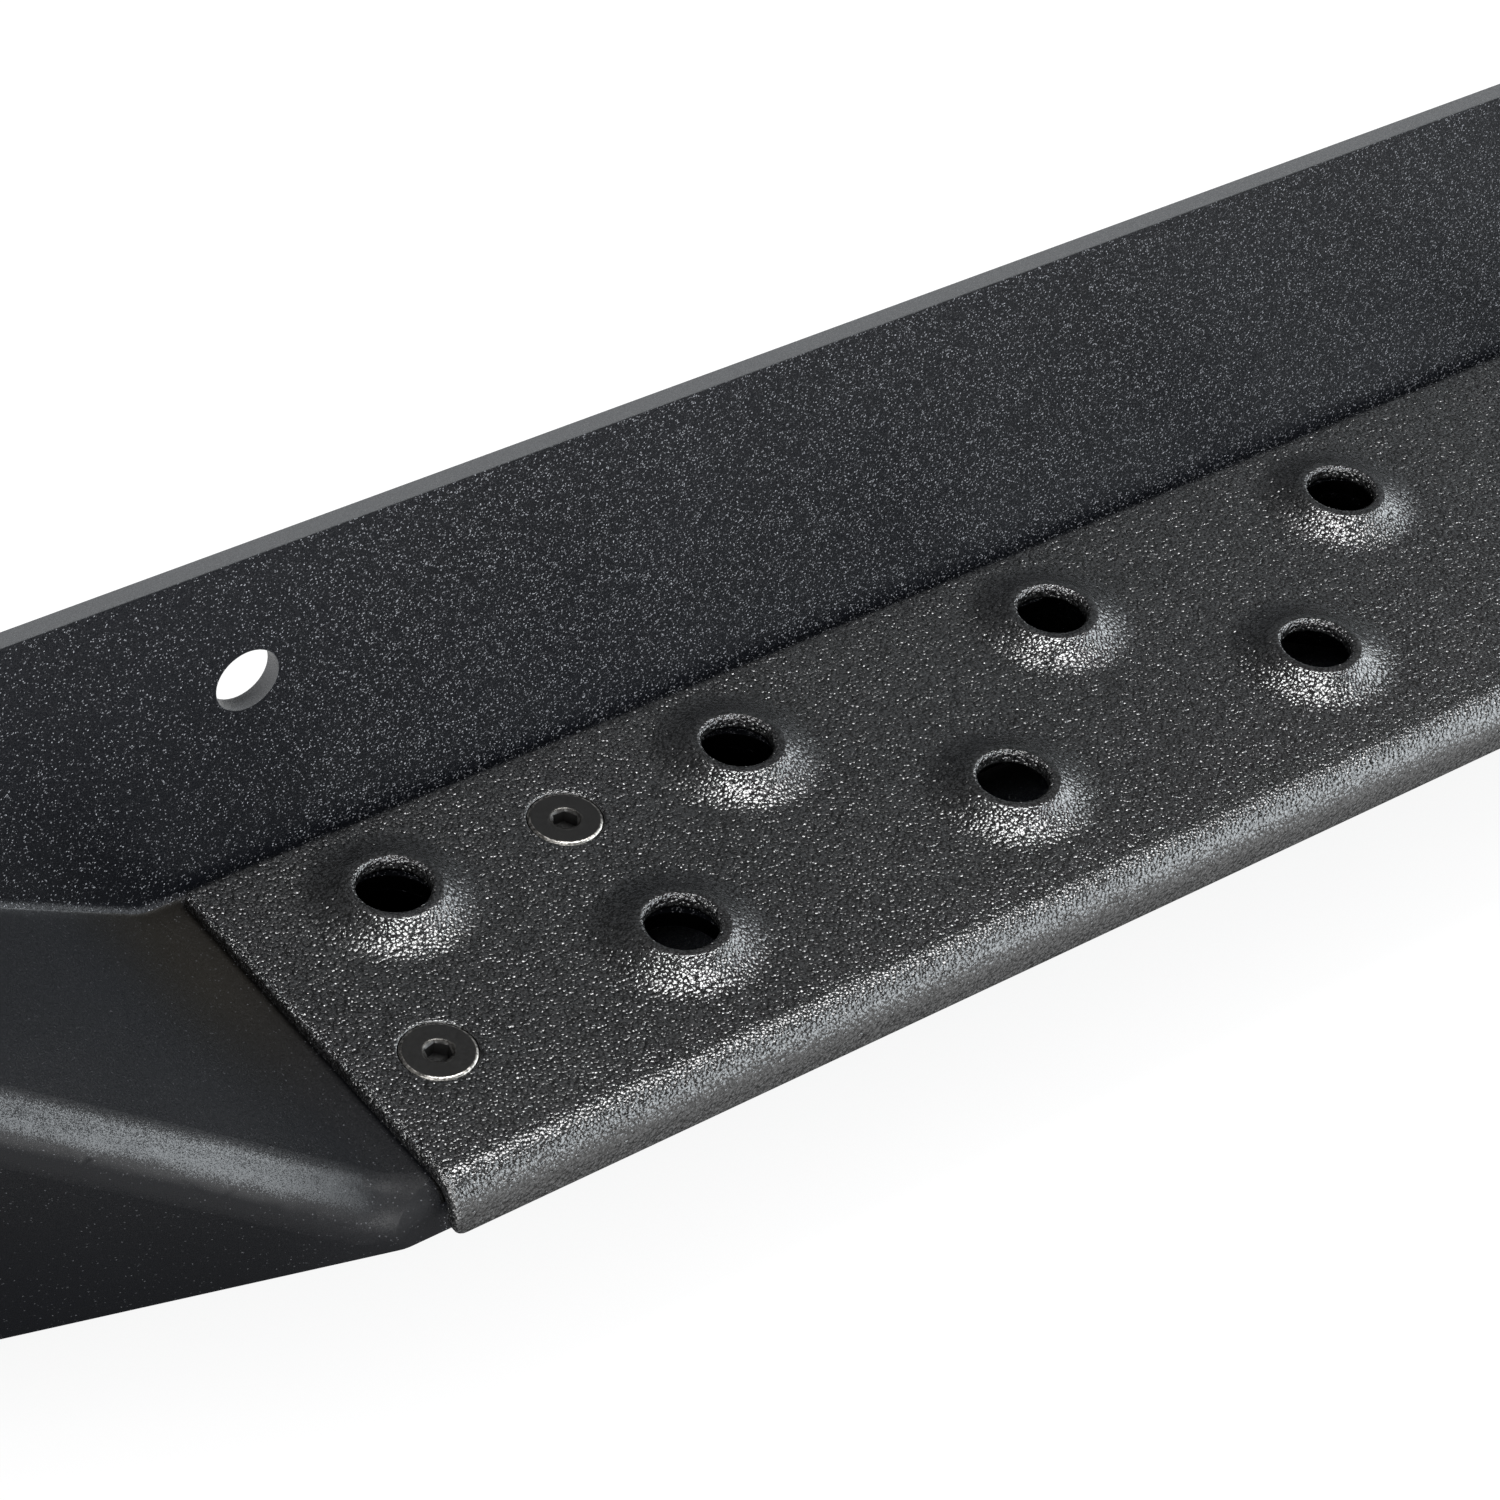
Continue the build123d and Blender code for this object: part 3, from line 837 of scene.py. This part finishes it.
# ---- operators -----------------------------------------------------------------------------------
class RUNNINGBOARD_OT_body(bpy.types.Operator):
    """Finishes the pressed body, its closing plates, its ribs and the nuts inside it"""

    bl_idname = "running_board.body"
    bl_label = "Body and Plates"

    def execute(self, context):
        coat = body_coat(context.scene.board_finish)
        plated = nut_steel()
        for name, node in frame["nodes"].items():
            if name.startswith("weld_nut"):
                paint(node, plated)
            elif not name.startswith("tread"):
                paint(node, coat)
        return {"FINISHED"}


class RUNNINGBOARD_OT_tread(bpy.types.Operator):
    """Makes the folded tread with its rows of raised grip holes and its screw seats"""

    bl_idname = "running_board.tread"
    bl_label = "Grip Tread"

    def execute(self, context):
        tread = context.scene.board_tread
        coat = tread_coat(context.scene.board_finish)
        grips, screws = grip_places(tread), screw_places(tread, context.scene.board_screw)
        bm = bmesh.new()
        layers = [bm.verts.layers.float.new(name) for name in RIM_ZONES]
        for ring in revolve(bm, rim_profile(tread)):
            for vertex in ring:
                for layer, inside in zip(layers, rim_zones(tread, vertex.co)):
                    vertex[layer] = float(inside)
        form = object_from_bmesh("Rim form", bm)
        middle = grips[tread.back_holes // 2]
        rims = run_tree(
            form, grip_rows_tree(), coat,
            pitch=tread.pitch, row_gap=tread.row_gap, back_holes=tread.back_holes, back_row=middle,
        )
        bm = make_tread_sheet(tread, grips, screws)
        for name in RIM_ZONES:
            bm.verts.layers.float.new(name)
        bm.from_mesh(rims)
        for place in screws:
            revolve(bm, seat_profile(tread), place)
        piece = object_from_bmesh("grip_tread", bm)
        bpy.data.objects.remove(form)
        paint(piece, coat)
        seat_piece(piece, "tread_coat", "tread_plate")
        return {"FINISHED"}


def hexagon(size, z):
    """A ring of points round a hexagon, given half its width across the flats."""
    corners = []
    for n in range(SIDES):
        turn = 2 * math.pi * n / SIDES
        across = (turn + math.pi / 6) % (math.pi / 3) - math.pi / 6
        radius = size / math.cos(across)
        corners.append(Vector((radius * math.cos(turn), radius * math.sin(turn), z)))
    return corners


def close_end(bm, ring, z):
    """Closes a ring of points with a fan round one point on the axis."""
    middle = bm.verts.new((0, 0, z))
    for n in range(SIDES):
        bm.faces.new((ring[n], ring[(n + 1) % SIDES], middle))


def rounded(radius, depth, width, first, last, steps=5):
    """Points round an edge of a given width, whose slope runs from first to last, in degrees."""
    low, high = math.radians(first), math.radians(last)
    reach = width / (math.sin(high) - math.sin(low))
    points = []
    for n in range(steps + 1):
        turn = low + (high - low) * n / steps
        points.append((
            radius + reach * (math.sin(turn) - math.sin(low)),
            depth - reach * (math.cos(low) - math.cos(turn)),
        ))
    return points


def make_screw(screw):
    """One screw with its head's top at the origin, and the worn edges marked."""
    head, shank = screw.head, screw.shank
    edge = rounded(head - screw.edge, 0.0, screw.edge, 0, 55)
    neck = edge[-1][1] - (head - shank)
    outside = [(head - screw.edge - 0.3 * MM, 0.0)] + edge
    outside += [(shank + 0.1 * MM, neck + 0.1 * MM), (shank, neck - 0.2 * MM)]
    groove = 0.55 * MM
    depth = 0.6 * MM - neck
    while depth + screw.thread < screw.long:
        for share, cut in ((0.0, 0.0), (0.15, 0.0), (0.5, groove), (0.85, 0.0)):
            outside.append((shank - cut, -depth - screw.thread * share))
        depth += screw.thread
    outside += [(shank - 0.4 * MM, -screw.long), (0.6 * MM, -screw.long)]
    bm = bmesh.new()
    rings = revolve(bm, outside)
    close_end(bm, rings[-1], -screw.long)

    corner = screw.socket / math.cos(math.pi / 6)
    mouth = corner + screw.mouth
    lead = [(mouth - reach, depth) for reach, depth in rounded(0.0, 0.0, screw.mouth * 0.8, 0, 50)]
    lead.insert(0, (mouth + 0.3 * MM, 0.0))
    inner = [circle(Vector(), radius, depth) for radius, depth in lead]
    inner.append(hexagon(screw.socket, lead[-1][1] - 0.35 * MM))
    inner.append(hexagon(screw.socket, -screw.deep))
    inner.append(hexagon(screw.socket * 0.3, -screw.deep))
    inner = [ring_of(bm, points) for points in inner]
    for first, second in zip([rings[0]] + inner, inner):
        bridge(bm, first, second)
    close_end(bm, inner[-1], -screw.deep - 0.2 * MM)
    worn = bm.verts.layers.float.new("worn")
    fully, partly = 1.0, 0.45
    for vertex in bm.verts:
        reach = vertex.co.xy.length
        if vertex.co.z > neck / 2 and reach > head - screw.edge * 0.8:
            vertex[worn] = fully
        if mouth - screw.mouth < reach < mouth and vertex.co.z > lead[-1][1] - 0.1 * MM:
            vertex[worn] = partly
    return bm


class RUNNINGBOARD_OT_screws(bpy.types.Operator):
    """Makes the socket screws that hold the tread, each turned as it was tightened"""

    bl_idname = "running_board.screws"
    bl_label = "Tread Screws"

    def execute(self, context):
        tread, screw = context.scene.board_tread, context.scene.board_screw
        oxide = black_oxide()
        form = object_from_bmesh("Screw form", make_screw(screw), smooth=False)
        places = bpy.data.meshes.new("Screw places")
        places.from_pydata(screw_places(tread, screw), [], [])
        points = mesh_object("Screw places", places)
        mesh = run_tree(
            points, scatter_tree(), oxide, piece=form, largest_turn=math.radians(60), seed=7,
        )
        for obj in (points, form):
            bpy.data.objects.remove(obj)
        piece = mesh_object("socket_screws", mesh)
        piece.data.shade_smooth()
        piece.data.set_sharp_from_angle(angle=math.radians(32))
        paint(piece, oxide)
        seat_piece(piece, "screw_black", "tread_screws")
        return {"FINISHED"}


def panel_corners():
    """Corners of the underside panel's outer face: rear left, front left, front right, rear right."""
    points = [vertex.co for vertex in frame["nodes"]["underside_panel"].data.vertices]
    near = 0.05 * MM
    front = [point for point in points if point.y < PANEL_LOW.y + near]
    lowest = min(point.z for point in front)
    front = [point for point in front if point.z < lowest + near]
    rear = [point for point in points if point.z < PANEL_LOW.z + near]
    left, right = min(front, key=lambda p: p.x), max(front, key=lambda p: p.x)
    return [min(rear, key=lambda p: p.x), left, right, max(rear, key=lambda p: p.x)]


class RUNNINGBOARD_OT_welds(bpy.types.Operator):
    """Lays the weld stitches that hold the underside panel"""

    bl_idname = "running_board.welds"
    bl_label = "Welds"

    def execute(self, context):
        coat = bpy.data.materials.get("Body coat") or body_coat(context.scene.board_finish)
        rear_left, front_left, front_right, rear_right = panel_corners()
        slope = (front_left - Vector((front_left.x, rear_left.y, rear_left.z))).normalized()
        facing = Vector((0, slope.z, -slope.y)).normalized()
        outside = slope * 0.15 * MM
        inset = Vector((14 * MM, 0, 0))
        start, stop = 0.12, 0.8         # shares of the way from the front corners to the rear ones
        lines = [
            (front_left + outside + inset, front_right + outside - inset),
            (front_left.lerp(rear_left, start), front_left.lerp(rear_left, stop)),
            (front_right.lerp(rear_right, start), front_right.lerp(rear_right, stop)),
        ]
        mesh = bpy.data.meshes.new("Seams")
        ends = [point for line in lines for point in line]
        mesh.from_pydata(ends, [(n, n + 1) for n in range(0, len(ends), 2)], [])
        seams = mesh_object("Seams", mesh)
        stitched = run_tree(seams, weld_tree(), coat, facing=facing, seed=3)
        bpy.data.objects.remove(seams)
        piece = mesh_object("weld_stitches", stitched)
        piece.data.shade_smooth()
        paint(piece, coat)
        seat_piece(piece, "body_coat")
        return {"FINISHED"}


# place and target, counted from the end of the tread, then size and tint
LAMPS = {
    "Overhead": ((0.5, -0.1, 1.85), (0.5, -0.1, 0.0), (1.1, 0.55), (1.0, 1.0, 1.0)),
    "Left": ((-0.95, -1.0, 0.42), (0.05, -0.07, 0.0), (1.7, 1.1), (1.0, 1.0, 1.0)),
    "Front": ((1.7, -1.0, 0.83), (0.0, 0.0, 0.0), (3.2, 1.15), (0.9, 0.96, 1.0)),
}


class RUNNINGBOARD_OT_studio(bpy.types.Operator):
    """Sets up the floor, the lamps, the surrounding light and the camera"""

    bl_idname = "running_board.studio"
    bl_label = "Studio"

    def execute(self, context):
        studio = context.scene.board_studio
        lay_floor()
        surround(studio)
        for name, lamp in LAMPS.items():
            hang_lamp(name, getattr(studio, name.lower()), *lamp)
        set_camera(context, studio)
        context.scene.view_settings.view_transform = "Standard"
        return {"FINISHED"}


def openness(nodes, distance):
    """1 in the open, less where something stands within a distance."""
    return nodes.add("ShaderNodeAmbientOcclusion", {"Distance": distance}, samples=4).outputs["AO"]


def lay_floor():
    """A plain pale floor right under the board: it keeps the shadow, and from below it's clear."""
    bm = bmesh.new()
    bmesh.ops.create_grid(bm, x_segments=1, y_segments=1, size=20.0)
    bmesh.ops.translate(bm, verts=bm.verts, vec=(0, 0, CAD_BOX[0].z - 0.2 * MM))
    floor = object_from_bmesh("Floor", bm, smooth=False)
    material, nodes = new_material("Pale floor")
    path = nodes.add("ShaderNodeLightPath").outputs
    # the glow is painted darker where the board stands near: a painted shadow, seen by the camera and,
    # stronger, in reflections
    shaded = nodes.total(nodes.product(openness(nodes, 0.3), 0.18), 0.84)
    seen = nodes.product(path["Is Camera Ray"], shaded)
    in_mirror = nodes.math("MAXIMUM", path["Is Glossy Ray"], path["Is Transmission Ray"])
    in_mirror = nodes.product(in_mirror, between(nodes, openness(nodes, 0.12), 0.72, 0.94))
    glow = nodes.add("ShaderNodeEmission", {"Strength": nodes.total(seen, in_mirror)})
    matt = nodes.add("ShaderNodeBsdfDiffuse", {"Color": (0.08, 0.08, 0.08, 1)})
    above = nodes.add("ShaderNodeAddShader", {0: matt.outputs[0], 1: glow.outputs[0]})
    clear = nodes.add("ShaderNodeBsdfTransparent")
    below = nodes.add("ShaderNodeNewGeometry").outputs["Backfacing"]
    either = nodes.add("ShaderNodeMixShader", {0: below, 1: above.outputs[0], 2: clear.outputs[0]})
    nodes.add("ShaderNodeOutputMaterial", {"Surface": either.outputs[0]})
    paint(floor, material)


def surround(studio):
    """Soft light from all round and a white backdrop; mirrored, a bright horizon under a dark sky."""
    world = bpy.data.worlds.new("Studio")
    world.use_nodes = True
    nodes = Nodes(world.node_tree)
    path = nodes.add("ShaderNodeLightPath").outputs
    direction = nodes.add("ShaderNodeTexCoord").outputs["Generated"]
    height = nodes.add("ShaderNodeSeparateXYZ", {0: direction}).outputs[2]
    horizon = nodes.ramp(height, [(0.25, 1.0), (0.42, 0.35), (0.62, 0.15), (0.85, 0.03)])
    in_mirror = nodes.math("MAXIMUM", path["Is Glossy Ray"], path["Is Transmission Ray"])
    seen = nodes.math("MAXIMUM", path["Is Camera Ray"], nodes.product(in_mirror, horizon))
    strength = nodes.math("MAXIMUM", seen, studio.sky)
    light = nodes.add("ShaderNodeBackground", {"Color": (1, 1, 1, 1), "Strength": strength})
    nodes.add("ShaderNodeOutputWorld", {"Surface": light.outputs[0]})
    bpy.context.scene.world = world


def hang_lamp(name, watts, place, target, size, tint):
    """A soft rectangular lamp that faces a point; places are counted from the end of the tread."""
    place, target = (Vector((TREAD_LOW.x + x, y, z)) for x, y, z in (place, target))
    lamp = bpy.data.lights.new(name, "AREA")
    lamp.shape = "RECTANGLE"
    lamp.size, lamp.size_y = size
    lamp.energy = watts
    lamp.color = tint
    obj = bpy.data.objects.new(name, lamp)
    bpy.context.scene.collection.objects.link(obj)
    obj.location = place
    obj.rotation_mode = "QUATERNION"
    obj.rotation_quaternion = (target - place).to_track_quat("-Z", "Y")
    obj.visible_camera = False


def set_camera(context, studio):
    """Puts the camera at its angle over the end of the tread."""
    data = bpy.data.cameras.new("Camera")
    data.lens = studio.lens
    data.sensor_width = 36
    data.clip_start, data.clip_end = 0.05, 60
    camera = bpy.data.objects.new("Camera", data)
    context.scene.collection.objects.link(camera)
    top = TREAD_HIGH.z - context.scene.board_tread.rise
    aim = Vector((TREAD_LOW.x + studio.aim_inset, TREAD_HIGH.y - studio.aim_depth, top))
    level = math.cos(studio.elevation)
    forward = Vector((
        math.sin(studio.azimuth) * level,
        math.cos(studio.azimuth) * level,
        -math.sin(studio.elevation),
    ))
    camera.rotation_mode = "QUATERNION"
    turn = forward.to_track_quat("-Z", "Y")
    camera.rotation_quaternion = turn @ Matrix.Rotation(studio.roll, 3, "Z").to_quaternion()
    camera.location = aim - forward * studio.distance
    context.scene.camera = camera


class RUNNINGBOARD_PT_panel(bpy.types.Panel):
    """Lists the steps that make the running board."""

    bl_idname = "RUNNINGBOARD_PT_panel"
    bl_label = "Running Board"
    bl_space_type = "VIEW_3D"
    bl_region_type = "UI"
    bl_category = "Running Board"

    def draw(self, context):
        for step in STEPS:
            self.layout.operator(step.bl_idname)
        for name in SETTINGS:
            settings = getattr(context.scene, name)
            box = self.layout.box()
            for field in settings.__annotations__:
                box.prop(settings, field)


STEPS = (
    RUNNINGBOARD_OT_body,
    RUNNINGBOARD_OT_tread,
    RUNNINGBOARD_OT_screws,
    RUNNINGBOARD_OT_welds,
    RUNNINGBOARD_OT_studio,
)
SETTINGS = {
    "board_tread": TreadSettings,
    "board_screw": ScrewSettings,
    "board_finish": FinishSettings,
    "board_studio": StudioSettings,
}


def register():
    for group in SETTINGS.values():
        bpy.utils.register_class(group)
    for step in STEPS:
        bpy.utils.register_class(step)
    bpy.utils.register_class(RUNNINGBOARD_PT_panel)
    for name, group in SETTINGS.items():
        setattr(bpy.types.Scene, name, bpy.props.PointerProperty(type=group))


def unregister():
    for name in SETTINGS:
        delattr(bpy.types.Scene, name)
    bpy.utils.unregister_class(RUNNINGBOARD_PT_panel)
    for group in (*STEPS, *SETTINGS.values()):
        bpy.utils.unregister_class(group)


def main():
    register()
    bpy.ops.running_board.body()
    bpy.ops.running_board.tread()
    bpy.ops.running_board.screws()
    bpy.ops.running_board.welds()
    bpy.ops.running_board.studio()


if __name__ == "__main__":
    main()
